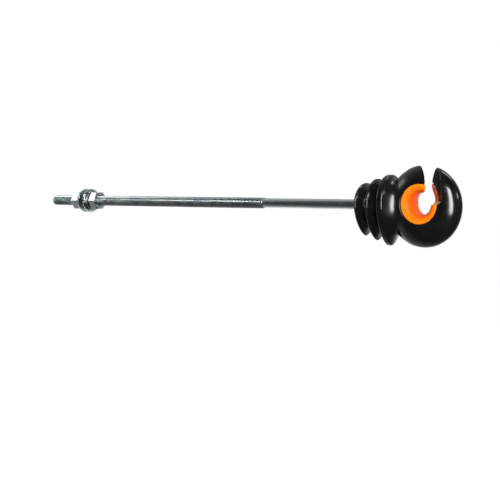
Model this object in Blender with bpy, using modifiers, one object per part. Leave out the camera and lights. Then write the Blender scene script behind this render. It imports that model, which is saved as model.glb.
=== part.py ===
"""Ring insulator on an offset rod, with the nuts and washers that clamp it through a post wall.

Axes: +X runs along the rod from the post to the ring, +Z is up, and the fence rope passes along Y.
The origin is on the rod's axis, on the post face that the front washer bears on. Sizes are in mm.
"""

import math

import bmesh
import bpy
from mathutils import Matrix, Vector

MM = 0.001

# rod and thread
THREAD_DIAMETER = 6.0
THREAD_PITCH = 1.0
THREAD_DEPTH = 0.58
TAIL_LENGTH = 30.0  # from the post face back to the rod's free tip
THREAD_REACH = 131.0  # from the post face forward to the end of the thread
TIP_CHAMFER = 0.9
SHANK_DIAMETER = 5.35  # the plain, unrolled stretch
ANCHOR_COVER = 6.3  # plastic left between the rod's moulded-in end and the insert's seat
ANCHOR_GROOVE_DEPTH = 0.7
ANCHOR_GROOVE_WIDTH = 2.4
ANCHOR_GROOVE_SETBACKS = (4.6, 10.6)  # from the rod's moulded-in end to each groove

# post wall and clamping set
POST_WALL = 3.0
NUT_WIDTH = 10.0  # across flats
NUT_HEIGHT = 5.0
NUT_CHAMFER_ANGLE = 30.0
NUT_FACE_INSET = 0.15  # the chamfered faces are this much inside the flats, on the radius
NUT_COUNTERSINK = 0.35
WASHER_DIAMETER = 14.0
WASHER_THICKNESS = 1.2
SPRING_DIAMETER = 11.8
SPRING_THICKNESS = 1.6
SPRING_SPLIT = 1.2
SPRING_SPLIT_ANGLE = 20.0

# clearances
SEAT_GAP = 0.2  # between pieces that bear on each other
THREAD_CLEARANCE = 0.15  # nut bore over the thread's crest, on the radius
WASHER_CLEARANCE = 0.25  # washer bores over the thread's crest, on the radius
MOULD_GAP = 0.2  # between the plastic and what is moulded or pressed into it

# plastic head
NECK_START = 192.0  # neck's rear face
NECK_RADIUS = 7.6
NECK_CHAMFER = 0.8
SHED_WIDTH = 24.4
SHED_STARTS = (2.6, 9.2, 15.6)  # rear edge of each rim, from the neck's rear face
SHED_TOPS = (11.2, 13.3, 15.3)  # how far each shed stands above the rod's axis
SHED_BOTTOMS = (16.1, 18.2, 20.6)  # how far it hangs below
SHED_POINT = 1.25  # over 1 makes the hanging half taper like a drip edge
SHED_RIMS = (0.8, 1.2, 2.9)
SHED_BACK_RUN = 0.7  # length of a shed's steep rear side
SHED_FRONT_RUN = 2.8  # length of its sloping front side
RING_OFFSET = 36.5  # neck's rear face to the ring's centre
RING_RADIUS = 20.6
RING_DROP = 0.5  # the ring's centre below the rod's axis

# wear insert, turned about the rope's axis
SLEEVE_RADIUS = 8.8
FLANGE_LIP = 1.2  # the flanges stand out this much round the sleeve
FLANGE_THICKNESS = 1.5
INSERT_DEPTH = 13.6  # overall, along Y
INSERT_WALL = 3.6  # at the throat
BORE_RISE = 0.7  # the insert's axis above the rod's
FACE_PROUD = 0.1  # the ring's face stands this much over the flange

# rope slot
SLOT_WIDTH = 6.6
SLOT_ANGLE = 46.0  # in plan, from the ring's plane
SLOT_SHIFT = 2.2  # its middle is this far beyond the insert's axis, away from the post
SLOT_FLOOR = -0.4  # its round floor, from the insert's axis

# the last shed's fairing into the ring
FAIRING_GAP = 1.0  # it ends this far from the insert's flange
FAIRING_SINK = 0.05  # and this much under the ring's face

# how shapes are made
ROUND_STEPS = 32
RING_STEPS = 48
THREAD_STEPS = 10
SMOOTH_ANGLE = 35.0
WELD_DISTANCE = 0.001
CUT_OVERRUN = 1.0  # cutters run this much past what they cut

# worked out
RING_CENTRE = NECK_START + RING_OFFSET
FACE_HALF = INSERT_DEPTH / 2 + FACE_PROUD
FLANGE_RADIUS = SLEEVE_RADIUS + FLANGE_LIP
THROAT_RADIUS = SLEEVE_RADIUS - INSERT_WALL
ANCHOR_END = RING_CENTRE - FLANGE_RADIUS - MOULD_GAP - ANCHOR_COVER
CREST = THREAD_DIAMETER / 2
ROOT = CREST - THREAD_DEPTH
# across the ring: radius, share of half the face's thickness
RING_SHAPE = ((1.0, 0.0), (0.985, 0.17), (0.94, 0.37), (0.84, 0.64), (0.66, 0.91), (0.52, 1.0))
# the insert's flared bore: share of half its depth, share of the way from throat to flange rim
FLARE_SHAPE = ((0.97, 0.72), (0.88, 0.42), (0.72, 0.2), (0.46, 0.06), (0.0, 0.0))
# the fairing: share of the way, then what is left of the shed's side, and of its top and bottom
FAIRING_SHAPE = ((0.2, 0.72, 0.84), (0.45, 0.41, 0.72), (0.75, 0.13, 0.64), (1.0, 0.0, 0.6))


def clear_scene():
    for old in list(bpy.data.objects):
        bpy.data.objects.remove(old)


def new_collection(name, hidden=False):
    made = bpy.data.collections.new(name)
    made.hide_render = hidden
    bpy.context.scene.collection.children.link(made)
    return made


def new_material(name, colour, roughness, metallic):
    made = bpy.data.materials.new(name)
    made.use_nodes = True
    shader = made.node_tree.nodes["Principled BSDF"]
    shader.inputs["Base Color"].default_value = (*colour, 1.0)
    shader.inputs["Roughness"].default_value = roughness
    shader.inputs["Metallic"].default_value = metallic
    return made


def new_object(name, mesh, home):
    made = bpy.data.objects.new(name, mesh)
    home.objects.link(made)
    return made


def along_x(start=0.0):
    """Lays a shape that was turned about Z along the rod."""
    return Matrix.Translation((start * MM, 0, 0)) @ Matrix.Rotation(math.pi / 2, 4, "Y")


def along_y(rise=0.0):
    """Lays a shape that was turned about Z along the rope, at the ring's centre or above it."""
    return Matrix.Translation((RING_CENTRE * MM, 0, rise * MM)) @ Matrix.Rotation(-math.pi / 2, 4, "X")


def turned(name, profile, home, place, steps=ROUND_STEPS, closed=False):
    """A turned shape. profile is (height, radius) pairs from the top down its outer side."""
    mesh = bpy.data.meshes.new(name)
    points = [(radius * MM, 0, height * MM) for height, radius in profile]
    edges = [(i, i + 1) for i in range(len(points) - 1)]
    if closed:
        edges.append((len(points) - 1, 0))
    mesh.from_pydata(points, edges, [])
    made = new_object(name, mesh, home)
    made.matrix_world = place
    screw = made.modifiers.new("Turn", "SCREW")
    screw.steps = screw.render_steps = steps
    screw.use_merge_vertices = True
    screw.merge_threshold = WELD_DISTANCE * MM
    return made


def boolean(target, other, operation, solver="EXACT"):
    step = target.modifiers.new(other.name, "BOOLEAN")
    step.operation = operation
    step.object = other
    step.solver = solver


def as_cutter(obj):
    obj.hide_render = True
    obj.display_type = "WIRE"
    return obj


def settle(obj, material):
    """Makes the modifiers' result the object's own mesh, with smooth round faces."""
    bpy.context.view_layer.update()
    graph = bpy.context.evaluated_depsgraph_get()
    mesh = bpy.data.meshes.new_from_object(obj.evaluated_get(graph))
    mesh.name = obj.name
    obj.modifiers.clear()
    obj.data = mesh
    mesh.shade_smooth()
    mesh.set_sharp_from_angle(angle=math.radians(SMOOTH_ANGLE))
    mesh.materials.clear()
    mesh.materials.append(material)
    return obj


def power(value, exponent):
    return math.copysign(abs(value) ** exponent, value)


def loft(name, sections, home, steps=RING_STEPS):
    """A closed shape through oval sections: (x, half width, reach above, reach below, point)."""
    bm = bmesh.new()
    rings = []
    for x, half_width, above, below, point in sections:
        ring = []
        for i in range(steps):
            turn = 2 * math.pi * i / steps
            high = math.cos(turn) >= 0
            reach, exponent = (above, 1.0) if high else (below, point)
            y = half_width * power(math.sin(turn), exponent)
            z = reach * power(math.cos(turn), exponent)
            ring.append(bm.verts.new(Vector((x, y, z)) * MM))
        rings.append(ring)
    for ring in rings:
        for i in range(steps):
            bm.edges.new((ring[i], ring[(i + 1) % steps]))
    for one, other in zip(rings, rings[1:]):
        edges = [e for e in bm.edges if all(v in one for v in e.verts)]
        edges += [e for e in bm.edges if all(v in other for v in e.verts)]
        bmesh.ops.bridge_loops(bm, edges=edges)
    for ring in (rings[0], rings[-1]):
        bm.faces.new(ring)
    bmesh.ops.recalc_face_normals(bm, faces=bm.faces)
    mesh = bpy.data.meshes.new(name)
    bm.to_mesh(mesh)
    bm.free()
    return new_object(name, mesh, home)


def thread_blank(name, home, start, length):
    """A closed rod with an outside thread, longer than it needs to be at the rod's tip."""
    turns = math.ceil(length / THREAD_PITCH)
    mesh = bpy.data.meshes.new(name)
    points = [(ROOT * MM, 0, THREAD_PITCH * MM), (CREST * MM, 0, THREAD_PITCH * MM / 2), (ROOT * MM, 0, 0)]
    mesh.from_pydata(points, [(0, 1), (1, 2)], [])
    made = new_object(name, mesh, home)
    screw = made.modifiers.new("Thread", "SCREW")
    screw.screw_offset = THREAD_PITCH * MM
    screw.iterations = turns
    screw.steps = screw.render_steps = THREAD_STEPS
    screw.use_merge_vertices = True
    screw.merge_threshold = WELD_DISTANCE * MM
    graph = bpy.context.evaluated_depsgraph_get()
    wound = bpy.data.meshes.new_from_object(made.evaluated_get(graph))
    made.modifiers.clear()
    bm = bmesh.new()
    bm.from_mesh(wound)
    bmesh.ops.remove_doubles(bm, verts=bm.verts, dist=WELD_DISTANCE * MM)
    open_edges = [e for e in bm.edges if e.is_boundary]
    middle = sum(v.co.z for v in bm.verts) / len(bm.verts)
    for low_end in (True, False):
        edges = [e for e in open_edges if (e.verts[0].co.z < middle) == low_end]
        grown = bmesh.ops.extrude_edge_only(bm, edges=edges)["geom"]
        cap = [v for v in grown if isinstance(v, bmesh.types.BMVert)]
        height = sum(v.co.z for v in cap) / len(cap)
        bmesh.ops.pointmerge(bm, verts=cap, merge_co=(0, 0, height))
    bmesh.ops.recalc_face_normals(bm, faces=bm.faces)
    bm.to_mesh(wound)
    bm.free()
    made.data = wound
    made.matrix_world = along_x(start)
    return made


def make_shaft(home, cutters, material):
    tip = -TAIL_LENGTH
    shank = SHANK_DIAMETER / 2
    overrun = 2 * THREAD_PITCH
    shaft = thread_blank("shaft", home, tip - overrun, TAIL_LENGTH + THREAD_REACH + overrun)
    envelope = turned(
        "thread_envelope",
        [
            (THREAD_REACH + overrun, 0),
            (THREAD_REACH + overrun, CREST + CUT_OVERRUN),
            (tip + TIP_CHAMFER + CUT_OVERRUN, CREST + CUT_OVERRUN),
            (tip, CREST - TIP_CHAMFER),
            (tip, 0),
        ],
        cutters,
        along_x(),
    )
    boolean(shaft, as_cutter(envelope), "INTERSECT")
    boolean(shaft, as_cutter(shank_profile("shank", cutters, shank, 0.0)), "UNION")
    return settle(shaft, material)


def shank_profile(name, home, radius, clearance):
    """The plain stretch and its moulded-in end. With a clearance it is the hole for them."""
    start = THREAD_REACH if clearance == 0 else NECK_START - CUT_OVERRUN
    profile = [(ANCHOR_END + clearance, 0), (ANCHOR_END + clearance, radius + clearance)]
    for setback in ANCHOR_GROOVE_SETBACKS:
        low, high = ANCHOR_END - setback - ANCHOR_GROOVE_WIDTH, ANCHOR_END - setback
        deep = radius - ANCHOR_GROOVE_DEPTH + clearance
        profile += [(high - clearance, radius + clearance), (high - clearance, deep)]
        profile += [(low + clearance, deep), (low + clearance, radius + clearance)]
    profile += [(start, radius + clearance), (start, 0)]
    return turned(name, profile, home, along_x())


def make_washer(name, home, material, outer, start, thickness, inner, cutter=None):
    profile = [
        (thickness, inner),
        (thickness, outer),
        (0, outer),
        (0, inner),
    ]
    made = turned(name, profile, home, along_x(start), closed=True)
    if cutter:
        boolean(made, cutter, "DIFFERENCE")
    return settle(made, material)


def split_cutter(name, home, start, thickness):
    """A thin slanted box that opens the spring washer at its top."""
    bm = bmesh.new()
    bmesh.ops.create_cube(bm, size=1.0)
    height = SPRING_DIAMETER / 2 + CUT_OVERRUN
    length = 2 * thickness + 2 * CUT_OVERRUN
    bmesh.ops.scale(bm, vec=Vector((length, SPRING_SPLIT, height)) * MM, verts=bm.verts)
    mesh = bpy.data.meshes.new(name)
    bm.to_mesh(mesh)
    bm.free()
    made = new_object(name, mesh, home)
    place = Matrix.Translation(Vector((start + thickness / 2, 0, height / 2)) * MM)
    made.matrix_world = place @ Matrix.Rotation(math.radians(SPRING_SPLIT_ANGLE), 4, "Z")
    return as_cutter(made)


def make_nut(name, home, cutters, material, start):
    """A hexagon nut, a flat towards the rope's axis, chamfered on both faces."""
    corner = NUT_WIDTH / 2 / math.cos(math.pi / 6)
    bm = bmesh.new()
    bmesh.ops.create_cone(
        bm, cap_ends=True, segments=6, radius1=corner * MM, radius2=corner * MM, depth=NUT_HEIGHT * MM
    )
    mesh = bpy.data.meshes.new(name)
    bm.to_mesh(mesh)
    bm.free()
    made = new_object(name, mesh, home)
    made.matrix_world = along_x(start + NUT_HEIGHT / 2)
    flat = NUT_WIDTH / 2 - NUT_FACE_INSET
    slope = math.tan(math.radians(NUT_CHAMFER_ANGLE))
    wide = corner + CUT_OVERRUN
    drop = (wide - flat) * slope
    barrel = turned(
        name + "_barrel",
        [(NUT_HEIGHT, 0), (NUT_HEIGHT, flat), (NUT_HEIGHT - drop, wide), (drop, wide), (0, flat), (0, 0)],
        cutters,
        along_x(start),
    )
    bore = CREST + THREAD_CLEARANCE
    mouth = bore + NUT_COUNTERSINK
    hole = turned(
        name + "_hole",
        [
            (NUT_HEIGHT + CUT_OVERRUN, 0),
            (NUT_HEIGHT + CUT_OVERRUN, mouth),
            (NUT_HEIGHT, mouth),
            (NUT_HEIGHT - NUT_COUNTERSINK, bore),
            (NUT_COUNTERSINK, bore),
            (0, mouth),
            (-CUT_OVERRUN, mouth),
            (-CUT_OVERRUN, 0),
        ],
        cutters,
        along_x(start),
    )
    boolean(made, as_cutter(barrel), "INTERSECT")
    boolean(made, as_cutter(hole), "DIFFERENCE")
    return settle(made, material)


def neck_sections():
    """Sections of the neck and its three hanging sheds, from the rear face into the ring."""
    core = NECK_RADIUS
    half = SHED_WIDTH / 2
    rear_end = core - NECK_CHAMFER
    sections = [(NECK_START, rear_end, rear_end, rear_end, 1.0)]
    sections.append((NECK_START + NECK_CHAMFER, core, core, core, 1.0))
    for start, above, below, rim in zip(SHED_STARTS, SHED_TOPS, SHED_BOTTOMS, SHED_RIMS):
        rear = NECK_START + start
        front = rear + rim
        sections.append((rear - SHED_BACK_RUN, core, core, core, 1.0))
        sections.append((rear, half, above, below, SHED_POINT))
        sections.append((front, half, above, below, SHED_POINT))
        if start != SHED_STARTS[-1]:
            sections.append((front + SHED_FRONT_RUN, core, core, core, 1.0))
    # the last shed flows into the ring: its sides sink to the ring's face, its top and bottom much sooner
    end = RING_CENTRE - FLANGE_RADIUS - FAIRING_GAP
    for share, wide, tall in FAIRING_SHAPE:
        side = FACE_HALF - FAIRING_SINK + (half - FACE_HALF) * wide
        x = front + (end - front) * share
        sections.append((x, side, above * tall, below * tall, 1.0))
    return sections


def make_body(home, cutters, material):
    body = loft("insulator_body", neck_sections(), home)
    upper = [(FACE_HALF * t, RING_RADIUS * r) for r, t in reversed(RING_SHAPE)]
    lower = [(-FACE_HALF * t, RING_RADIUS * r) for r, t in RING_SHAPE[1:]]
    ring = turned(
        "ring_blank",
        [(FACE_HALF, 0), *upper, *lower, (-FACE_HALF, 0)],
        cutters,
        along_y(-RING_DROP),
        RING_STEPS,
    )
    seat = turned("insert_seat", seat_profile(), cutters, along_y(BORE_RISE), RING_STEPS)
    hole = shank_profile("rod_hole", cutters, SHANK_DIAMETER / 2, MOULD_GAP)
    # the exact solver leaves open edges where the seat meets the ring's flat face
    boolean(body, as_cutter(ring), "UNION", "MANIFOLD")
    boolean(body, as_cutter(seat), "DIFFERENCE", "MANIFOLD")
    boolean(body, as_cutter(hole), "DIFFERENCE", "MANIFOLD")
    boolean(body, slot_cutter("body_slot", cutters), "DIFFERENCE", "MANIFOLD")
    return settle(body, material)


def seat_profile():
    """The room in the ring for the wear insert, with its flange recesses."""
    half = INSERT_DEPTH / 2
    shoulder = half - FLANGE_THICKNESS - MOULD_GAP
    rim, sleeve = FLANGE_RADIUS + MOULD_GAP, SLEEVE_RADIUS + MOULD_GAP
    outside = FACE_HALF + CUT_OVERRUN
    top = [(outside, 0), (outside, rim), (shoulder, rim), (shoulder, sleeve)]
    return top + [(-height, radius) for height, radius in reversed(top)]


def make_insert(home, cutters, material):
    half = INSERT_DEPTH / 2
    outer = [(half, FLANGE_RADIUS), (half - FLANGE_THICKNESS, FLANGE_RADIUS)]
    outer.append((half - FLANGE_THICKNESS, SLEEVE_RADIUS))
    outer += [(-height, radius) for height, radius in reversed(outer)]
    flare = FLANGE_RADIUS - THROAT_RADIUS
    inner = [(half * h, THROAT_RADIUS + flare * r) for h, r in FLARE_SHAPE]
    inner = [(-height, radius) for height, radius in inner] + list(reversed(inner[:-1]))
    made = turned("wear_insert", outer + inner, home, along_y(BORE_RISE), RING_STEPS, closed=True)
    boolean(made, slot_cutter("insert_slot", cutters), "DIFFERENCE")
    return settle(made, material)


def slot_cutter(name, home):
    """The slanted way in for the rope: a U, open at the top, with its round floor near the bore's axis."""
    half, reach = SLOT_WIDTH / 2, 2 * RING_RADIUS
    outline = [(half, reach)]
    outline += [
        (half * math.cos(math.pi * i / ROUND_STEPS), half - half * math.sin(math.pi * i / ROUND_STEPS))
        for i in range(ROUND_STEPS + 1)
    ]
    outline.append((-half, reach))
    bm = bmesh.new()
    end = bm.faces.new([bm.verts.new(Vector((-reach, y, z)) * MM) for y, z in outline])
    grown = bmesh.ops.extrude_face_region(bm, geom=[end])["geom"]
    moved = [v for v in grown if isinstance(v, bmesh.types.BMVert)]
    bmesh.ops.translate(bm, vec=Vector((2 * reach, 0, 0)) * MM, verts=moved)
    bmesh.ops.recalc_face_normals(bm, faces=bm.faces)
    mesh = bpy.data.meshes.new(name)
    bm.to_mesh(mesh)
    bm.free()
    made = new_object(name, mesh, home)
    place = Matrix.Translation(Vector((RING_CENTRE + SLOT_SHIFT, 0, BORE_RISE + SLOT_FLOOR)) * MM)
    made.matrix_world = place @ Matrix.Rotation(-math.radians(SLOT_ANGLE), 4, "Z")
    return as_cutter(made)


def make_clamp_set(side, home, cutters, steel, spring_steel, face, way):
    """Washer, spring washer and nut, from the post face outwards along X."""
    place = face
    made = []
    for kind, thickness in (("washer", WASHER_THICKNESS), ("spring", SPRING_THICKNESS), ("nut", NUT_HEIGHT)):
        start = place if way > 0 else place - thickness
        if kind == "washer":
            radius = WASHER_DIAMETER / 2
            inner = CREST + WASHER_CLEARANCE
            made.append(make_washer(side + "_washer", home, steel, radius, start, thickness, inner))
        elif kind == "spring":
            radius = SPRING_DIAMETER / 2
            inner = CREST + WASHER_CLEARANCE
            cutter = split_cutter(side + "_split", cutters, start, thickness)
            name = side + "_spring_washer"
            made.append(make_washer(name, home, spring_steel, radius, start, thickness, inner, cutter))
        else:
            made.append(make_nut(side + "_nut", home, cutters, steel, start))
        place += way * (thickness + SEAT_GAP)
    return made


def main():
    clear_scene()
    parts = new_collection("ring_insulator")
    cutters = new_collection("cutters", hidden=True)
    plastic = new_material("black_plastic", (0.012, 0.012, 0.013), 0.25, 0.0)
    wear = new_material("orange_plastic", (1.0, 0.24, 0.01), 0.35, 0.0)
    zinc = new_material("bright_zinc", (0.62, 0.66, 0.67), 0.28, 1.0)
    dark = new_material("spring_steel", (0.42, 0.45, 0.46), 0.32, 1.0)
    make_shaft(parts, cutters, zinc)
    make_body(parts, cutters, plastic)
    make_insert(parts, cutters, wear)
    make_clamp_set("front", parts, cutters, zinc, dark, 0.0, 1)
    make_clamp_set("rear", parts, cutters, zinc, dark, -POST_WALL, -1)


main()
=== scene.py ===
import math

import bmesh
import bpy
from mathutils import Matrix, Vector


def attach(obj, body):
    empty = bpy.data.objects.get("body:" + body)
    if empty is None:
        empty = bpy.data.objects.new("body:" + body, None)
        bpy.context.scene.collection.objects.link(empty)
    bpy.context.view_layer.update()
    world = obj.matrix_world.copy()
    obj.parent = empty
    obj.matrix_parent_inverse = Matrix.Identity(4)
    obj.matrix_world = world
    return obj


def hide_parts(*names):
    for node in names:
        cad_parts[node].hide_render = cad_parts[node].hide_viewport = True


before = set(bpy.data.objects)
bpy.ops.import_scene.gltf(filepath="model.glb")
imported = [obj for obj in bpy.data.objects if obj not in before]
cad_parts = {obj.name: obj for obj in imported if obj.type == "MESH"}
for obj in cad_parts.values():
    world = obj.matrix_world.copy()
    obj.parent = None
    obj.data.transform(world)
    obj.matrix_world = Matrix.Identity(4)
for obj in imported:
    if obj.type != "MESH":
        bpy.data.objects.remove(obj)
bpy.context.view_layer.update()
mm = 0.001
quarterTurn = math.pi / 2


# small tools used by every piece
def deselectAll():
    if bpy.context.object and bpy.context.object.mode != "OBJECT":
        bpy.ops.object.mode_set(mode="OBJECT")
    bpy.ops.object.select_all(action="DESELECT")


def makeActive(piece):
    deselectAll()
    piece.select_set(True)
    bpy.context.view_layer.objects.active = piece


def applyModifier(piece, kind, **settings):
    makeActive(piece)
    modifier = piece.modifiers.new(kind.lower(), kind)
    for name, value in settings.items():
        setattr(modifier, name, value)
    bpy.ops.object.modifier_apply(modifier=modifier.name)


def combine(piece, tool, how):
    applyModifier(piece, "BOOLEAN", operation=how, object=tool, solver="MANIFOLD")
    bpy.data.objects.remove(tool)


def closeUp():
    # in edit mode: seams welded, faces turned outwards
    bpy.ops.mesh.select_all(action="SELECT")
    bpy.ops.mesh.remove_doubles(threshold=0.002 * mm)
    bpy.ops.mesh.normals_make_consistent(inside=False)


def drawLine(name, points):
    # a line of edges drawn point by point from one vertex, left in edit mode with all of it selected
    deselectAll()
    bpy.ops.mesh.primitive_plane_add(size=mm, enter_editmode=True)
    piece = bpy.context.object
    piece.name = piece.data.name = name
    bpy.ops.mesh.select_all(action="SELECT")
    bpy.ops.mesh.merge(type="CENTER")
    bpy.ops.transform.translate(value=Vector(points[0]) * mm)
    for here, there in zip(points, points[1:]):
        step = (Vector(there) - Vector(here)) * mm
        bpy.ops.mesh.extrude_region_move(TRANSFORM_OT_translate={"value": step})
    bpy.ops.mesh.select_all(action="SELECT")
    return piece


def turnRound(name, points, centre, axis, steps):
    # a solid of revolution from a drawn line
    piece = drawLine(name, points)
    bpy.ops.mesh.spin(steps=steps, angle=2 * math.pi, center=Vector(centre) * mm, axis=axis)
    closeUp()
    bpy.ops.object.mode_set(mode="OBJECT")
    return piece


def turnOnRod(name, outline, steps=96):
    # outline is (x, radius) pairs, turned about the rod
    return turnRound(name, [(x, 0, radius) for x, radius in outline], (0, 0, 0), (1, 0, 0), steps)


def turnOnRope(name, outline, centre, steps=144):
    # outline is (y, radius) pairs, turned about the rope's way through
    points = [(centre[0], y, centre[2] + radius) for y, radius in outline]
    return turnRound(name, points, centre, (0, 1, 0), steps)


def easedLine(points, cuts):
    # more points on a soft curve through the given ones
    padded = [points[0], *points, points[-1]]
    out = []
    for before, here, there, after in zip(padded, padded[1:], padded[2:], padded[3:]):
        for step in range(cuts):
            t = step / cuts
            out.append(tuple(
                0.5 * (2 * h + (n - b) * t + (2 * b - 5 * h + 4 * n - a) * t ** 2
                       + (3 * h - 3 * n + a - b) * t ** 3)
                for b, h, n, a in zip(before, here, there, after)
            ))
    return out + [points[-1]]


def softenEdges(piece, grid, passes):
    # even small faces all over, then smoothed so that every edge is a little round
    applyModifier(piece, "REMESH", mode="VOXEL", voxel_size=grid * mm)
    applyModifier(piece, "SMOOTH", factor=0.5, iterations=passes)
    makeActive(piece)
    bpy.ops.object.shade_smooth()


def finishPiece(piece, material, body, slot, *nodes):
    piece.data.materials.clear()
    piece.data.materials.append(material)
    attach(piece, body)
    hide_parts(*nodes)
    print("made", piece.name, len(piece.data.polygons), "faces")
    return piece


# shared surface effects, each a group with named sockets
def newGroup(name, inputs, outputs):
    group = bpy.data.node_groups.new(name, "ShaderNodeTree")
    for label, kind, value in inputs:
        socket = group.interface.new_socket(label, in_out="INPUT", socket_type=kind)
        if value is not None:
            socket.default_value = value
    for label in outputs:
        group.interface.new_socket(label, in_out="OUTPUT", socket_type="NodeSocketFloat")
    return group, group.nodes.new("NodeGroupInput").outputs, group.nodes.new("NodeGroupOutput").inputs


def addNode(tree, kind, inputs=(), **settings):
    node = tree.nodes.new("ShaderNode" + kind)
    for name, value in settings.items():
        setattr(node, name, value)
    for key, value in dict(inputs).items():
        if isinstance(value, bpy.types.NodeSocket):
            tree.links.new(value, node.inputs[key])
        else:
            node.inputs[key].default_value = value
    return node


def sum2(tree, how, a, b, clamp=False):
    return addNode(tree, "Math", {0: a, 1: b}, operation=how, use_clamp=clamp).outputs[0]


def plus(tree, base, mask, amount, clamp=False):
    # base with a share of a mask added
    return sum2(tree, "ADD", base, sum2(tree, "MULTIPLY", mask, amount), clamp)


def noiseAt(tree, place, scale, detail):
    return addNode(tree, "TexNoise", {"Vector": place, "Scale": scale, "Detail": detail}).outputs[0]


def between(tree, value, low, high, toLow=0.0, toHigh=1.0):
    node = addNode(tree, "MapRange", {0: value, 1: low, 2: high, 3: toLow, 4: toHigh})
    return node.outputs[0]


def buildMottle():
    # broad cloudy variation and a fine grain, both 0 to 1
    group, given, out = newGroup("mottle", [
        ("Vector", "NodeSocketVector", None),
        ("Cloud Scale", "NodeSocketFloat", 90.0),
        ("Grain Scale", "NodeSocketFloat", 2500.0),
    ], ["Cloud", "Grain"])
    cloud = noiseAt(group, given["Vector"], given["Cloud Scale"], 4.0)
    grain = noiseAt(group, given["Vector"], given["Grain Scale"], 2.0)
    group.links.new(between(group, cloud, 0.35, 0.65), out["Cloud"])
    group.links.new(between(group, grain, 0.3, 0.7), out["Grain"])
    return group


def buildScratches():
    # thin hairlines, broken up so that they come and go
    group, given, out = newGroup("hairScratches", [
        ("Vector", "NodeSocketVector", None),
        ("Scale", "NodeSocketFloat", 60.0),
        ("Spread", "NodeSocketFloat", 0.5),
    ], ["Mask"])
    lines = None
    for turn, stretch in (((0.3, 0.5, 0.2), 14.0), ((1.2, -0.4, 0.9), 22.0)):
        size = (1.0, stretch, stretch)
        turned = addNode(group, "Mapping", {"Vector": given["Vector"], "Rotation": turn, "Scale": size})
        noise = noiseAt(group, turned.outputs[0], given["Scale"], 1.0)
        near = sum2(group, "ABSOLUTE", sum2(group, "SUBTRACT", noise, 0.5), 0.0)
        line = between(group, near, 0.0, 0.008, 1.0, 0.0)
        lines = line if lines is None else sum2(group, "MAXIMUM", lines, line)
    patch = noiseAt(group, given["Vector"], given["Scale"], 2.0)
    keep = between(group, sum2(group, "SUBTRACT", patch, given["Spread"]), 0.0, 0.12)
    group.links.new(sum2(group, "MULTIPLY", lines, keep, True), out["Mask"])
    return group


def buildEdgeRub():
    # how rubbed an edge is, from how sharply the surface turns there
    group, given, out = newGroup("edgeRub", [
        ("Vector", "NodeSocketVector", None),
        ("Start", "NodeSocketFloat", 0.52),
        ("Full", "NodeSocketFloat", 0.6),
        ("Patch Scale", "NodeSocketFloat", 400.0),
    ], ["Mask"])
    sharpness = addNode(group, "NewGeometry").outputs["Pointiness"]
    edge = between(group, sharpness, given["Start"], given["Full"])
    patch = noiseAt(group, given["Vector"], given["Patch Scale"], 3.0)
    rubbed = sum2(group, "MULTIPLY", edge, between(group, patch, 0.38, 0.62), True)
    group.links.new(rubbed, out["Mask"])
    return group


def buildDust():
    # a thin film that settles on what faces up, with a few specks
    group, given, out = newGroup("settledDust", [
        ("Vector", "NodeSocketVector", None),
        ("Film Scale", "NodeSocketFloat", 160.0),
        ("Speck Scale", "NodeSocketFloat", 900.0),
    ], ["Mask"])
    geometry = addNode(group, "NewGeometry")
    up = addNode(group, "SeparateXYZ", {0: geometry.outputs["Normal"]}).outputs["Z"]
    film = noiseAt(group, given["Vector"], given["Film Scale"], 5.0)
    speck = addNode(group, "TexVoronoi", {"Vector": given["Vector"], "Scale": given["Speck Scale"]})
    specks = between(group, speck.outputs["Distance"], 0.0, 0.12, 1.0, 0.0)
    filmed = sum2(group, "MULTIPLY", between(group, film, 0.45, 0.75), 0.5)
    specked = sum2(group, "MULTIPLY", specks, between(group, film, 0.5, 0.6))
    both = sum2(group, "MAXIMUM", filmed, specked)
    group.links.new(sum2(group, "MULTIPLY", both, between(group, up, 0.1, 0.9, 0.1, 1.0), True), out["Mask"])
    return group


mottle, hairScratches, edgeRub, settledDust = buildMottle(), buildScratches(), buildEdgeRub(), buildDust()
print("shared surface effects ready")


def newMaterial(name, **constants):
    material = bpy.data.materials.new(name)
    material.use_nodes = True
    tree = material.node_tree
    shader = tree.nodes["Principled BSDF"]
    for label, value in constants.items():
        shader.inputs[label].default_value = value
    place = addNode(tree, "TexCoord").outputs["Object"]
    return material, tree, shader, place


def useGroup(tree, group, place, **values):
    node = tree.nodes.new("ShaderNodeGroup")
    node.node_tree = group
    tree.links.new(place, node.inputs["Vector"])
    for label, value in values.items():
        node.inputs[label.replace("_", " ")].default_value = value
    return node.outputs


def mixColours(tree, mask, first, second):
    node = addNode(tree, "Mix", {0: mask}, data_type="RGBA")
    for socket, value in ((node.inputs[6], first), (node.inputs[7], second)):
        if isinstance(value, bpy.types.NodeSocket):
            tree.links.new(value, socket)
        else:
            socket.default_value = (*value, 1.0)
    return node.outputs[2]


def bumpOn(tree, shader, height, depth):
    bump = addNode(tree, "Bump", {"Height": height, "Distance": depth * mm, "Strength": 1.0})
    tree.links.new(bump.outputs[0], shader.inputs["Normal"])


plasticFinish = {
    "black": (0.0030, 0.0031, 0.0036),
    "greyer": (0.0068, 0.0070, 0.0076),
    "rubbed": (0.045, 0.046, 0.048),
    "dust": (0.10, 0.10, 0.095),
    "rubShows": 0.35,
    "dustShows": 0.18,
    "gloss": (0.13, 0.22),
    "rougher": (0.18, 0.22, 0.12),  # by scratches, dust and rubbing
    "relief": (0.07, 0.25, -0.15),  # of grain, clouds and scratches, where the seam is 1
    "seamHalf": 0.09,
    "bumpDepth": 0.035,
}


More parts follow.
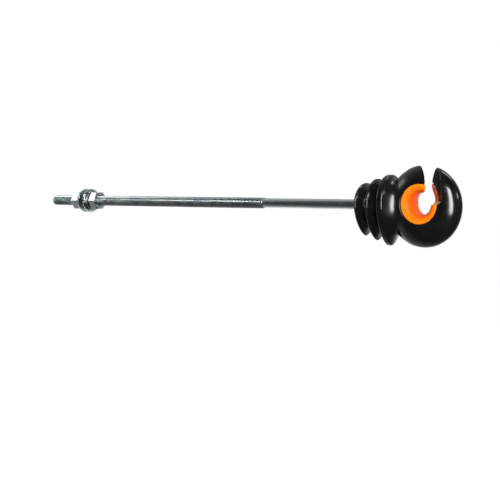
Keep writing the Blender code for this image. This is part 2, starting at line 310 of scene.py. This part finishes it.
def makeBlackPlastic():
    finish = plasticFinish
    material, tree, shader, place = newMaterial("blackPlastic", **{"IOR": 1.5})
    cloud = useGroup(tree, mottle, place, Cloud_Scale=70.0, Grain_Scale=3200.0)
    marks = useGroup(tree, hairScratches, place, Scale=45.0, Spread=0.52)["Mask"]
    rub = useGroup(tree, edgeRub, place, Start=0.54, Full=0.66, Patch_Scale=320.0)["Mask"]
    dust = useGroup(tree, settledDust, place, Film_Scale=140.0, Speck_Scale=1100.0)["Mask"]
    across = sum2(tree, "ABSOLUTE", addNode(tree, "SeparateXYZ", {0: place}).outputs["Y"], 0.0)
    seam = between(tree, across, 0.0, finish["seamHalf"] * mm, 1.0, 0.0)  # where the mould's halves met
    body = mixColours(tree, cloud["Cloud"], finish["black"], finish["greyer"])
    body = mixColours(tree, sum2(tree, "MULTIPLY", rub, finish["rubShows"]), body, finish["rubbed"])
    body = mixColours(tree, sum2(tree, "MULTIPLY", dust, finish["dustShows"]), body, finish["dust"])
    tree.links.new(body, shader.inputs["Base Color"])
    rough = between(tree, cloud["Cloud"], 0.0, 1.0, *finish["gloss"])
    for mask, amount in zip((marks, dust, rub), finish["rougher"]):
        rough = plus(tree, rough, mask, amount, True)
    tree.links.new(rough, shader.inputs["Roughness"])
    high = seam
    for mask, amount in zip((cloud["Grain"], cloud["Cloud"], marks), finish["relief"]):
        high = plus(tree, high, mask, amount)
    bumpOn(tree, shader, high, finish["bumpDepth"])
    return material


insertFinish = {
    "orange": (1.0, 0.285, 0.008),
    "deeper": (0.95, 0.21, 0.003),
    "inside": (0.86, 0.11, 0.002),  # painted shade: a deeper red-orange down in the bore, where the rope runs
    "boreShadeReach": (5.8, 8.6),  # radius from full painted shade to none
    "pale": (1.0, 0.38, 0.04),
    "rubShows": 0.4,
    "marksShow": 0.25,
    "gloss": (0.30, 0.42),
    "scratchRougher": 0.15,
    "relief": (0.12, 0.3, -0.2),  # of grain, clouds and scratches
    "bumpDepth": 0.03,
}


def makeOrangePlastic():
    finish = insertFinish
    material, tree, shader, place = newMaterial("orangePlastic", **{"IOR": 1.45, "Specular IOR Level": 0.15})
    cloud = useGroup(tree, mottle, place, Cloud_Scale=110.0, Grain_Scale=3000.0)
    marks = useGroup(tree, hairScratches, place, Scale=70.0, Spread=0.5)["Mask"]
    rub = useGroup(tree, edgeRub, place, Start=0.53, Full=0.64, Patch_Scale=500.0)["Mask"]
    body = mixColours(tree, cloud["Cloud"], finish["orange"], finish["deeper"])
    flat = addNode(tree, "VectorMath", {0: place, 1: (1, 0, 1)}, operation="MULTIPLY").outputs[0]
    middle = (head["ringX"] * mm, 0, head["boreRise"] * mm)
    radius = addNode(tree, "VectorMath", {0: flat, 1: middle}, operation="DISTANCE").outputs["Value"]
    low, high = finish["boreShadeReach"]
    # painted shade: the bore's inside is mixed towards a deeper red-orange, fully within the first radius and
    # not at all past the second
    body = mixColours(tree, between(tree, radius, low * mm, high * mm, 1.0, 0.0), body, finish["inside"])
    body = mixColours(tree, sum2(tree, "MULTIPLY", rub, finish["rubShows"]), body, finish["pale"])
    body = mixColours(tree, sum2(tree, "MULTIPLY", marks, finish["marksShow"]), body, finish["deeper"])
    tree.links.new(body, shader.inputs["Base Color"])
    rough = between(tree, cloud["Cloud"], 0.0, 1.0, *finish["gloss"])
    tree.links.new(plus(tree, rough, marks, finish["scratchRougher"], True), shader.inputs["Roughness"])
    relief = 0.0
    for mask, amount in zip((cloud["Grain"], cloud["Cloud"], marks), finish["relief"]):
        relief = plus(tree, relief, mask, amount)
    bumpOn(tree, shader, relief, finish["bumpDepth"])
    return material


def makePlated(name, finish):
    # bright zinc over steel: a faint blue-green cast that drifts, fine grain and rubbed edges
    material, tree, shader, place = newMaterial(name, **{"Metallic": 1.0})
    cloud = useGroup(tree, mottle, place, Cloud_Scale=finish["cloudScale"], Grain_Scale=4200.0)
    marks = useGroup(tree, hairScratches, place, Scale=120.0, Spread=0.48)["Mask"]
    rub = useGroup(tree, edgeRub, place, Start=0.53, Full=0.62, Patch_Scale=700.0)["Mask"]
    tint = between(tree, noiseAt(tree, place, finish["driftScale"], 3.0), 0.38, 0.62)
    skin = mixColours(tree, tint, finish["cool"], finish["warm"])
    skin = mixColours(tree, sum2(tree, "MULTIPLY", cloud["Cloud"], finish["patchy"]), skin, finish["dull"])
    skin = mixColours(tree, sum2(tree, "MULTIPLY", rub, finish["worn"]), skin, finish["rubbed"])
    tree.links.new(skin, shader.inputs["Base Color"])
    rough = between(tree, cloud["Cloud"], 0.0, 1.0, *finish["gloss"])
    for mask, amount in zip((marks, rub), finish["rougher"]):
        rough = plus(tree, rough, mask, amount, True)
    tree.links.new(rough, shader.inputs["Roughness"])
    high = 0.0
    for mask, amount in zip((cloud["Grain"], cloud["Cloud"], marks), finish["relief"]):
        high = plus(tree, high, mask, amount)
    bumpOn(tree, shader, high, finish["bumpDepth"])
    return material


zincFinish = {
    "cool": (0.47, 0.56, 0.58),
    "warm": (0.58, 0.62, 0.60),
    "dull": (0.40, 0.46, 0.47),
    "rubbed": (0.68, 0.72, 0.72),
    "gloss": (0.18, 0.26),
    "rougher": (0.12, -0.05),  # by scratches and rubbing
    "relief": (0.35, 0.3, -0.08),  # of grain, clouds and scratches
    "patchy": 0.35,
    "worn": 0.4,
    "cloudScale": 240.0,
    "driftScale": 55.0,
    "bumpDepth": 0.005,
}
springFinish = {
    "cool": (0.34, 0.41, 0.43),
    "warm": (0.44, 0.46, 0.45),
    "dull": (0.26, 0.30, 0.31),
    "rubbed": (0.62, 0.65, 0.66),
    "gloss": (0.22, 0.38),
    "rougher": (0.12, -0.05),
    "relief": (0.35, 0.3, -0.08),
    "patchy": 0.6,
    "worn": 0.6,
    "cloudScale": 320.0,
    "driftScale": 90.0,
    "bumpDepth": 0.014,
}

# the moulded head: neck, three hanging sheds and the ring
head = {
    "neckStart": 192.0,  # x of the neck's rear face
    "neckRadius": 7.6,
    "rearRounding": 0.8,
    "shedHalf": 12.2,
    "starts": (2.6, 9.2, 15.6),  # rear edge of each shed's rim, from the neck's rear face
    "tops": (11.2, 13.3, 15.3),
    "bottoms": (16.1, 18.2, 20.6),
    "point": 1.25,  # over 1 gives the hanging half its drip-edge taper
    "rims": (0.8, 1.2, 2.9),
    "backRun": 0.7,
    "frontRun": 2.8,
    "ringX": 228.5,
    "ringDrop": 0.5,
    "ringRadius": 20.6,
    "faceHalf": 6.9,
    "flangeRadius": 10.0,
    "sleeveRadius": 8.8,
    "flangeThickness": 1.5,
    "insertDepth": 13.6,
    "boreRise": 0.7,
    "gap": 0.2,
    "rodRadius": 2.675,
    "rodEnd": 212.0,
    "aroundSteps": 160,
    "fairingCurve": 1.5,  # how steeply the last shed's sides fall to the ring's face
    "fairingEnd": 0.6,  # what is left of its top and bottom there
    "fairingFade": 2.6,
    "fairingGap": 1.0,  # from its end to the insert's flange
    "fairingSink": 0.05,  # it ends this much under the ring's face
    "fairingSteps": 12,
    "firstGrid": (0.36, 5),  # small faces' size and smoothing passes, before and after cutting
    "lastGrid": (0.32, 3),
    "blend": (211.6, 220.0),  # from one x to another, smoothed further
    "blendPasses": 40,
    "overrun": 1.0,  # cutters go this much past what they cut
}
# across half the ring: radius share, share of half the thickness
ringCurve = ((0.52, 1.0), (0.66, 0.91), (0.84, 0.64), (0.94, 0.37), (0.985, 0.17), (1.0, 0.0))
ringCentre = (head["ringX"], 0.0, -head["ringDrop"])
boreCentre = (head["ringX"], 0.0, head["boreRise"])

blackPlastic, orangePlastic = makeBlackPlastic(), makeOrangePlastic()
brightZinc, springSteel = makePlated("brightZinc", zincFinish), makePlated("springSteel", springFinish)
print("materials ready")

slot = {
    "width": 6.6,
    "angle": 46.0,  # in plan, from the ring's plane
    "shift": 2.2,
    "floor": 0.3,
    "floorSteps": 14,
    "length": 80.0,
    "height": 40.0,
    "easeFrom": 8.0,  # its edges are rounder from this height up
    "easeReach": 0.9,
    "easePasses": 14,
}


def makeSlotTool():
    # a long block, open at the top, its two bottom edges rounded until they meet
    deselectAll()
    middle = Vector((head["ringX"] + slot["shift"], 0, slot["floor"] + slot["height"] / 2)) * mm
    size = Vector((slot["length"], slot["width"], slot["height"])) * mm
    bpy.ops.mesh.primitive_cube_add(size=1, location=middle, scale=size)
    tool = bpy.context.object
    bpy.ops.object.transform_apply(location=False, rotation=False, scale=True)
    bpy.ops.object.mode_set(mode="EDIT")
    bpy.ops.mesh.select_all(action="DESELECT")
    bm = bmesh.from_edit_mesh(tool.data)
    for edge in bm.edges:
        a, b = edge.verts
        edge.select = a.co.z < 0 and b.co.z < 0 and abs(a.co.x - b.co.x) > mm
    bmesh.update_edit_mesh(tool.data)
    bpy.ops.mesh.bevel(offset=slot["width"] / 2 * mm * 0.999, segments=slot["floorSteps"])
    closeUp()
    bpy.ops.object.mode_set(mode="OBJECT")
    tool.rotation_euler.z = -math.radians(slot["angle"])
    bpy.ops.object.transform_apply(location=True, rotation=True, scale=True)
    return tool


def eggPoint(turn, half, above, below, point):
    side, rise = math.sin(turn), math.cos(turn)
    if rise >= 0:
        return half * side, above * rise
    bent = math.copysign(abs(side) ** point, side)
    return half * bent, -below * abs(rise) ** point


def headSections():
    # (x, half width, above, below, point) from the neck's rear face into the ring
    core, start = head["neckRadius"], head["neckStart"]
    soft = head["rearRounding"]
    sections = []
    for part in range(5):
        turn = quarterTurn * part / 4
        small = core - soft * (1 - math.sin(turn))
        sections.append((start + soft * (1 - math.cos(turn)), small, small, small, 1.0))
    for at, above, below, rim in zip(head["starts"], head["tops"], head["bottoms"], head["rims"]):
        rear = start + at
        sections.append((rear - head["backRun"], core, core, core, 1.0))
        sections.append((rear, head["shedHalf"], above, below, head["point"]))
        sections.append((rear + rim, head["shedHalf"], above, below, head["point"]))
        if at != head["starts"][-1]:
            sections.append((rear + rim + head["frontRun"], core, core, core, 1.0))
    front, end = rear + rim, head["ringX"] - head["flangeRadius"] - head["fairingGap"]
    for part in range(1, head["fairingSteps"] + 1):
        share = part / head["fairingSteps"]
        wide = (1 - share) ** head["fairingCurve"]  # steep at the shed, flaring on to the ring's face
        tall = head["fairingEnd"] + (1 - head["fairingEnd"]) * math.exp(-head["fairingFade"] * share)
        side = head["faceHalf"] - head["fairingSink"] + (head["shedHalf"] - head["faceHalf"]) * wide
        point = 1 + (head["point"] - 1) * max(0.0, 1 - share * 3)
        sections.append((front + (end - front) * share, side, above * tall, below * tall, point))
    return sections


def makeNeck():
    deselectAll()
    bpy.ops.mesh.primitive_circle_add(vertices=head["aroundSteps"], radius=mm, enter_editmode=True)
    piece = bpy.context.object
    piece.name = piece.data.name = "mouldedHead"
    bm = bmesh.from_edit_mesh(piece.data)
    turns = bm.verts.layers.float.new("turn")  # each point keeps its turn as the ring is extruded on
    for vert in bm.verts:
        vert[turns] = math.atan2(vert.co.x, vert.co.y)
    bmesh.update_edit_mesh(piece.data)
    bpy.ops.mesh.select_all(action="SELECT")
    for number, (x, *shape) in enumerate(headSections()):
        if number:
            bpy.ops.mesh.extrude_region_move(TRANSFORM_OT_translate={"value": (mm, 0, 0)})
        bm = bmesh.from_edit_mesh(piece.data)
        turns = bm.verts.layers.float["turn"]
        for vert in bm.verts:
            if vert.select:  # no operator makes an egg outline, so its points are put in place
                y, z = eggPoint(vert[turns], *shape)
                vert.co = Vector((x, y, z)) * mm
        bmesh.update_edit_mesh(piece.data)
    bpy.ops.mesh.select_all(action="DESELECT")
    bpy.ops.mesh.select_non_manifold(extend=False)
    bpy.ops.mesh.edge_face_add()
    closeUp()
    bpy.ops.object.mode_set(mode="OBJECT")
    return piece


def easeWhere(piece, chosen, passes):
    # smoothed further only where chosen(x, y, z) holds, in mm
    makeActive(piece)
    bpy.ops.object.mode_set(mode="EDIT")
    bpy.ops.mesh.select_all(action="DESELECT")
    bm = bmesh.from_edit_mesh(piece.data)
    for vert in bm.verts:
        vert.select = chosen(*(vert.co / mm))
    bm.select_flush_mode()
    bmesh.update_edit_mesh(piece.data)
    bpy.ops.mesh.vertices_smooth(factor=0.5, repeat=passes)
    bpy.ops.object.mode_set(mode="OBJECT")


def besideSlot(x, y, z):
    turn = math.radians(slot["angle"])
    across = (x - head["ringX"] - slot["shift"]) * math.sin(turn) + y * math.cos(turn)
    return z > slot["easeFrom"] and abs(abs(across) - slot["width"] / 2) < slot["easeReach"]


def makeHead():
    piece = makeNeck()
    radius, half = head["ringRadius"], head["faceHalf"]
    curve = easedLine([(half * thick, radius * out) for out, thick in ringCurve], 4)
    outline = [(half, 0), *curve, *[(-y, r) for y, r in reversed(curve[:-1])], (-half, 0)]
    combine(piece, turnOnRope("ringBlank", outline, ringCentre), "UNION")
    softenEdges(piece, *head["firstGrid"])
    low, high = head["blend"]  # no crease is left where the fairing meets the ring
    easeWhere(piece, lambda x, y, z: low < x < high, head["blendPasses"])
    rim, sleeve = head["flangeRadius"] + head["gap"], head["sleeveRadius"] + head["gap"]
    shoulder = head["insertDepth"] / 2 - head["flangeThickness"] - head["gap"]
    outside = half + head["overrun"]
    seat = [(outside, 0), (outside, rim), (shoulder, rim), (shoulder, sleeve)]
    seat += [(-y, r) for y, r in reversed(seat)]
    combine(piece, turnOnRope("insertSeat", seat, boreCentre), "DIFFERENCE")
    hole = head["rodRadius"] + head["gap"]
    end, behind = head["rodEnd"] + head["gap"], head["neckStart"] - head["overrun"]
    combine(piece, turnOnRod("rodHole", [(end, 0), (end, hole), (behind, hole), (behind, 0)]), "DIFFERENCE")
    combine(piece, makeSlotTool(), "DIFFERENCE")
    softenEdges(piece, *head["lastGrid"])
    easeWhere(piece, besideSlot, slot["easePasses"])
    return finishPiece(piece, blackPlastic, "head_and_rod", "black_plastic", "insulator_body")


makeHead()

# the orange wear insert
insert = {"lipRounding": 0.35, "throatRadius": 5.2, "grid": 0.19, "passes": 4}
# from the face inwards: share of half the depth, share of the way from throat to flange rim
flareCurve = ((0.97, 0.72), (0.88, 0.42), (0.72, 0.2), (0.46, 0.06), (0.0, 0.0))


def makeInsert():
    half, flange, sleeve = head["insertDepth"] / 2, head["flangeRadius"], head["sleeveRadius"]
    throat = insert["throatRadius"]
    inner = easedLine([(half * y, throat + (flange - throat) * r) for y, r in flareCurve], 4)
    shoulder = half - head["flangeThickness"]
    lip = insert["lipRounding"]
    outer = [(half, flange - lip), (half - lip, flange), (shoulder, flange), (shoulder, sleeve)]
    outline = outer + [(-y, r) for y, r in reversed(outer)]
    outline += [(-y, r) for y, r in inner] + list(reversed(inner[:-1])) + [outer[0]]
    piece = turnOnRope("wearInsert", outline, boreCentre)
    combine(piece, makeSlotTool(), "DIFFERENCE")
    softenEdges(piece, insert["grid"], insert["passes"])
    return finishPiece(piece, orangePlastic, "head_and_rod", "orange_plastic", "wear_insert")


makeInsert()

# the rod with its rolled thread
rod = {
    "tip": -30.0,
    "threadEnd": 131.0,
    "crest": 3.0,
    "root": 2.42,
    "pitch": 1.0,
    "tipChamfer": 0.9,
    "shank": 2.675,
    "steps": 40,
    "rootFlat": 0.07,  # half of the flat root and half of the flat crest, in turns
    "crestFlat": 0.05,
    "lead": 2.363,  # turns before the tip; not a whole number, so that no point falls on the cut
    "runIn": 2.2,  # how far the shank's cone reaches into the thread
    "underRoot": 0.05,  # and how far under the root it ends
    "endBreak": 0.3,
    "sharpFrom": 32.0,
}


def makeRod():
    pitch, crest, root = rod["pitch"], rod["crest"], rod["root"]
    start = rod["tip"] - rod["lead"] * pitch
    turns = round((rod["threadEnd"] - start) / pitch) + 2
    low, high = rod["rootFlat"], rod["crestFlat"]
    line = [(0, root), (low, root), (0.5 - high, crest), (0.5 + high, crest), (1 - low, root), (1, root)]
    piece = drawLine("threadedRod", [(start + x * pitch, 0, r) for x, r in line])
    bpy.ops.object.mode_set(mode="OBJECT")
    applyModifier(piece, "SCREW", axis="X", screw_offset=pitch * mm, iterations=turns, steps=rod["steps"],
                  render_steps=rod["steps"], use_merge_vertices=True, merge_threshold=0.001 * mm)
    bpy.ops.object.mode_set(mode="EDIT")
    closeUp()
    for farEnd in (False, True):  # each ragged end is drawn in to one point, well outside what is kept
        bpy.ops.mesh.select_all(action="DESELECT")
        bpy.ops.mesh.select_non_manifold(extend=False)
        bm = bmesh.from_edit_mesh(piece.data)
        for vert in bm.verts:
            if vert.select and (vert.co.x > 0) != farEnd:
                vert.select = False
        bm.select_flush(False)
        bmesh.update_edit_mesh(piece.data)
        bpy.ops.mesh.extrude_region_move(TRANSFORM_OT_translate={"value": (0, 0, 0)})
        bpy.ops.mesh.merge(type="CENTER")
    closeUp()
    bpy.ops.object.mode_set(mode="OBJECT")
    tip, slope, last = rod["tip"], rod["tipChamfer"], rod["threadEnd"]
    past = crest + head["overrun"]
    envelope = [(last, 0), (last, past), (tip + slope + head["overrun"], past), (tip, crest - slope), (tip, 0)]
    combine(piece, turnOnRod("tipCone", envelope), "INTERSECT")
    shank, end, cut, inside = rod["shank"], head["rodEnd"], rod["endBreak"], last - rod["runIn"]
    plain = [(end, 0), (end, shank - cut), (end - cut, shank), (last + cut, shank)]
    plain += [(inside, root - rod["underRoot"]), (inside, 0)]
    combine(piece, turnOnRod("plainShank", plain), "UNION")
    makeActive(piece)
    bpy.ops.object.shade_smooth_by_angle(angle=math.radians(rod["sharpFrom"]))
    return finishPiece(piece, brightZinc, "head_and_rod", "bright_zinc", "shaft")


makeRod()

# nuts, plain washers and spring washers
clampSet = {
    "nutWidth": 10.0,
    "nutHeight": 5.0,
    "chamfer": 30.0,
    "faceInset": 0.15,
    "countersink": 0.35,
    "boreRadius": 3.15,
    "washerRadius": 7.0,
    "washerThickness": 1.2,
    "washerBore": 3.25,
    "springRadius": 5.9,
    "springThickness": 1.6,
    "springRise": 0.25,
    "springSplit": 1.2,
    "splitAngle": 20.0,
    "seatGap": 0.2,
    "postWall": 3.0,
    "overrun": 1.0,
    "nutGrid": (0.11, 3),
    "springGrid": (0.1, 2),
    "springCorner": 0.12,
    "springEase": 0.01,  # off each flat face
    "splitLength": 5.0,
    "springSteps": 96,
    "sharpFrom": 50.0,
}
# a punched washer's outline: one edge rolled over, the other with a small land
# each point is (from which face, how far along, from which edge, how far in)
washerCurve = (
    (0, 0.06, "inner", 0.0), (0, 0.0, "inner", 0.06), (0, 0.0, "outer", 0.3), (0, 0.06, "outer", 0.12),
    (0, 0.2, "outer", 0.03), (0, 0.38, "outer", 0.0), (1, 0.1, "outer", 0.0), (1, 0.03, "outer", 0.03),
    (1, 0.0, "outer", 0.1), (1, 0.0, "inner", 0.25), (1, 0.08, "inner", 0.08), (1, 0.25, "inner", 0.0),
)


def makeNut(name, start):
    tall = clampSet["nutHeight"]
    corner = clampSet["nutWidth"] / 2 / math.cos(math.pi / 6)
    flat = clampSet["nutWidth"] / 2 - clampSet["faceInset"]
    deselectAll()
    middle = ((start + tall / 2) * mm, 0, 0)
    bpy.ops.mesh.primitive_cylinder_add(
        vertices=6, radius=corner * mm, depth=tall * mm, location=middle, rotation=(0, quarterTurn, 0)
    )
    piece = bpy.context.object
    piece.name = piece.data.name = name
    bpy.ops.object.transform_apply(location=True, rotation=True, scale=True)
    past = clampSet["overrun"]
    wide = corner + past
    drop = (wide - flat) * math.tan(math.radians(clampSet["chamfer"]))
    barrel = [(tall, 0), (tall, flat), (tall - drop, wide), (drop, wide), (0, flat), (0, 0)]
    combine(piece, turnOnRod("nutBarrel", [(start + x, r) for x, r in barrel]), "INTERSECT")
    bore, sink = clampSet["boreRadius"], clampSet["countersink"]
    mouth = bore + sink
    hole = [(tall + past, 0), (tall + past, mouth), (tall, mouth), (tall - sink, bore)]
    hole += [(sink, bore), (0, mouth), (-past, mouth), (-past, 0)]
    combine(piece, turnOnRod("nutBore", [(start + x, r) for x, r in hole]), "DIFFERENCE")
    softenEdges(piece, *clampSet["nutGrid"])
    return piece


def makeWasher(name, start):
    thick, outer, inner = clampSet["washerThickness"], clampSet["washerRadius"], clampSet["washerBore"]
    outline = []
    for farFace, along, edge, inset in washerCurve:
        radius = outer - inset if edge == "outer" else inner + inset
        outline.append((start + (thick - along if farFace else along), radius))
    piece = turnOnRod(name, outline + outline[:1])
    makeActive(piece)
    bpy.ops.object.shade_smooth_by_angle(angle=math.radians(clampSet["sharpFrom"]))
    return piece


def makeSpringWasher(name, start):
    # a square bar wound once, its cut ends standing a little apart
    thick, rise = clampSet["springThickness"], clampSet["springRise"]
    inner, outer = clampSet["washerBore"], clampSet["springRadius"]
    ease, corner = clampSet["springEase"], clampSet["springCorner"]
    low, high = start + ease, start + thick - rise - ease
    points = [(low, inner), (low, outer - corner), (low + corner, outer)]
    points += [(high - corner, outer), (high, outer - corner), (high, inner)]
    piece = drawLine(name, [(x, 0, r) for x, r in points + points[:1]])
    bpy.ops.mesh.remove_doubles(threshold=0.002 * mm)
    bpy.ops.object.mode_set(mode="OBJECT")
    steps = clampSet["springSteps"]
    applyModifier(piece, "SCREW", axis="X", screw_offset=rise * mm, angle=2 * math.pi, iterations=1,
                  steps=steps, render_steps=steps, use_merge_vertices=False)
    bpy.ops.object.mode_set(mode="EDIT")
    bpy.ops.mesh.select_all(action="DESELECT")
    bpy.ops.mesh.select_non_manifold(extend=False)
    bpy.ops.mesh.edge_face_add()
    closeUp()
    bpy.ops.object.mode_set(mode="OBJECT")
    deselectAll()
    length = outer + clampSet["overrun"]
    middle = Vector((start + thick / 2, 0, length / 2)) * mm
    size = Vector((clampSet["splitLength"], clampSet["springSplit"], length)) * mm
    slant = (0, 0, math.radians(clampSet["splitAngle"]))
    bpy.ops.mesh.primitive_cube_add(size=1, location=middle, rotation=slant, scale=size)
    tool = bpy.context.object
    bpy.ops.object.transform_apply(location=True, rotation=True, scale=True)
    combine(piece, tool, "DIFFERENCE")
    softenEdges(piece, *clampSet["springGrid"])
    return piece


def makeClampSet(side, face, way):
    # washer, spring washer and nut, from the post's face outwards
    washers, place = side + "_washers", face
    for kind, thickness, make, metal, slotName, body, node in (
        ("Washer", clampSet["washerThickness"], makeWasher, brightZinc, "bright_zinc", washers, "_washer"),
        ("SpringWasher", clampSet["springThickness"], makeSpringWasher, springSteel, "spring_steel", washers,
         "_spring_washer"),
        ("Nut", clampSet["nutHeight"], makeNut, brightZinc, "bright_zinc", side + "_nut", "_nut"),
    ):
        start = place if way > 0 else place - thickness
        finishPiece(make(side + kind, start), metal, body, slotName, side + node)
        place += way * (thickness + clampSet["seatGap"])


makeClampSet("front", 0.0, 1)
makeClampSet("rear", -clampSet["postWall"], -1)

# pale floor, soft lights and camera
studio = {
    "floorDrop": 0.5,
    "floorSize": 8.0,
    "floorColour": (0.9, 0.9, 0.9),
    "floorDuller": (0.8865, 0.8865, 0.8865),
    "floorGlow": 0.75,
    "behind": 4.3,  # how far the floor's middle is beyond the object
    "aim": (0.2, 0.0, 0.0),
    "bright": 0.6,  # the room behind the object
    "dark": 0.06,  # the room on the camera's side
    "darkCard": (-0.866, 0.5, 0.0),  # the way to a black card, which the slot's wall reflects
    "cardEdge": (0.955, 0.985),  # cosines from that direction between which it fades in
    "cardShare": 0.04,
}
lamps = (
    # name, place from the aim, width, height, power
    ("keySoftbox", (0.815, -0.985, 0.245), 0.34, 1.15, 25.0),
    ("leftLamp", (-0.48, -0.15, 0.23), 0.11, 0.13, 0.13),
    ("rightLamp", (2.80, -0.34, 1.10), 0.60, 0.42, 10.0),
    ("edgeStrip", (-0.80, 0.03, 0.10), 0.12, 0.26, 1.0),
    ("overhead", (0.35, 0.30, 0.95), 0.20, 0.50, 2.2),
)
view = {
    "place": (0.513, -0.530, 0.013),
    "azimuth": 36.5,
    "down": 3.38,
    "lens": 86.4,
    "sensor": 36.0,
    "nearest": 0.01,
}


def makeRoom():
    # white where it is seen; bright behind the object and dim in front of it where it lights
    ahead = (-math.sin(math.radians(view["azimuth"])), math.cos(math.radians(view["azimuth"])), 0.0)
    world = bpy.data.worlds.new("paleRoom")
    world.use_nodes = True
    tree = world.node_tree
    tree.nodes.clear()
    place = addNode(tree, "TexCoord").outputs["Generated"]
    facing = addNode(tree, "VectorMath", {0: place, 1: ahead}, operation="DOT_PRODUCT").outputs["Value"]
    strength = between(tree, facing, -0.1, 0.45, studio["dark"], studio["bright"])
    card = addNode(tree, "VectorMath", {0: place, 1: studio["darkCard"]}, operation="DOT_PRODUCT")
    shade = between(tree, card.outputs["Value"], *studio["cardEdge"], 1.0, studio["cardShare"])
    strength = sum2(tree, "MULTIPLY", strength, shade)
    given = addNode(tree, "Background", {"Color": (1, 1, 1, 1), "Strength": strength})
    seen = addNode(tree, "Background", {"Color": (1, 1, 1, 1), "Strength": 1.0})
    rays = addNode(tree, "LightPath").outputs["Is Camera Ray"]
    both = addNode(tree, "MixShader", {0: rays, 1: given.outputs[0], 2: seen.outputs[0]})
    out = tree.nodes.new("ShaderNodeOutputWorld")
    tree.links.new(both.outputs[0], out.inputs["Surface"])
    bpy.context.scene.world = world
    return Vector(ahead)


def makeStudio():
    ahead = makeRoom()
    deselectAll()
    middle = ahead * studio["behind"] - Vector((0, 0, studio["floorDrop"]))
    facing = (0, 0, math.radians(view["azimuth"]))
    bpy.ops.mesh.primitive_plane_add(size=studio["floorSize"], location=middle, rotation=facing)
    floor = bpy.context.object
    floor.name = "paleFloor"
    constants = {"Roughness": 0.9, "Emission Color": (1, 1, 1, 1), "Emission Strength": studio["floorGlow"]}
    material, tree, shader, place = newMaterial("paleFloor", **constants)
    cloud = noiseAt(tree, place, 3.0, 2.0)
    colour = mixColours(tree, cloud, studio["floorColour"], studio["floorDuller"])
    tree.links.new(colour, shader.inputs["Base Color"])
    floor.data.materials.append(material)
    for name, away, width, height, power in lamps:
        away = Vector(away)
        turn = away.to_track_quat("Z", "Y").to_euler()
        bpy.ops.object.light_add(type="AREA", location=Vector(studio["aim"]) + away, rotation=turn)
        lamp = bpy.context.object
        lamp.name = name
        lamp.data.shape = "RECTANGLE"
        lamp.data.size, lamp.data.size_y, lamp.data.energy = width, height, power
    bpy.context.scene.view_settings.view_transform = "Standard"
    turn = (quarterTurn - math.radians(view["down"]), 0, math.radians(view["azimuth"]))
    bpy.ops.object.camera_add(location=view["place"], rotation=turn)
    camera = bpy.context.object
    camera.data.lens, camera.data.sensor_width = view["lens"], view["sensor"]
    camera.data.clip_start = view["nearest"]
    bpy.context.scene.camera = camera
    print("studio ready")


makeStudio()
